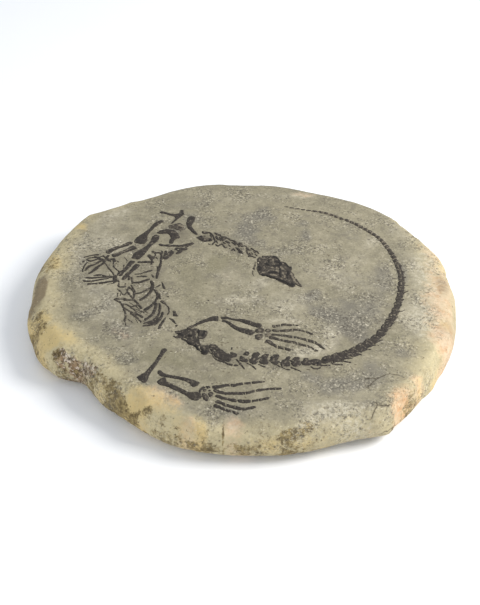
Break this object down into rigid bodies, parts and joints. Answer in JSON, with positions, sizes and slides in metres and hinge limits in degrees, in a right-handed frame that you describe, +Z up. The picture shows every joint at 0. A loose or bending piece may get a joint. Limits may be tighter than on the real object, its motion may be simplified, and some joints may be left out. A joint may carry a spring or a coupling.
{
  "type": "fossil skeleton on stone slab",
  "caption": "Fossil skeleton of a small long-tailed marine reptile, in low relief on the split face of a rounded flat stone nodule that lies on its underside.",
  "frame": {"origin": "on the underside's resting plane, at the middle of the slab's outline", "axes": "+Z up out of the face with the bones, +X to the right with the skull in the middle and the chest to the left, +Y away from the broken front notch"},
  "size_m": [0.3275, 0.3105, 0.035],
  "materials": {
    "stone": "matt, mottled, fine grained, with ochre and brown staining at the rim",
    "bone": "matt to faintly satin, dark brown-black mineralised bone"
  },
  "bodies": {
    "root": {"matrix_slab": "stone", "skull": "bone", "lower_jaw": "bone", "neck_vertebrae_base": "bone", "neck_vertebrae_middle": "bone", "neck_vertebrae_head_end": "bone", "interclavicle": "bone", "clavicle_right": "bone", "clavicle_left": "bone", "scapula": "bone", "coracoid": "bone", "back_vertebra_front": "bone", "back_vertebra_second": "bone", "rib_1": "bone", "rib_2": "bone", "rib_3": "bone", "rib_4": "bone", "rib_5": "bone", "rib_6": "bone", "rib_7": "bone", "rib_8": "bone", "belly_ribs": "bone", "ilium": "bone", "pubis": "bone", "sacrum": "bone", "humerus_right": "bone", "radius_right": "bone", "ulna_right": "bone", "hand_right": "bone", "humerus_left": "bone", "radius_left": "bone", "ulna_left": "bone", "hand_left": "bone", "femur_upper": "bone", "tibia_upper": "bone", "fibula_upper": "bone", "ankle_upper": "bone", "toe_upper_1": "bone", "toe_upper_2": "bone", "toe_upper_3": "bone", "toe_upper_4": "bone", "toe_upper_5": "bone", "femur_lower": "bone", "tibia_lower": "bone", "fibula_lower": "bone", "ankle_lower": "bone", "toe_lower_1": "bone", "toe_lower_2": "bone", "toe_lower_3": "bone", "toe_lower_4": "bone", "toe_lower_5": "bone", "tail_root": "bone", "tail_vertebra_1": "bone", "tail_vertebra_2": "bone", "tail_vertebra_3": "bone", "tail_vertebra_4": "bone", "tail_vertebra_5": "bone", "tail_vertebrae_row_1": "bone", "tail_vertebrae_row_2": "bone", "tail_vertebrae_row_3": "bone"}
  },
  "joints": []
}
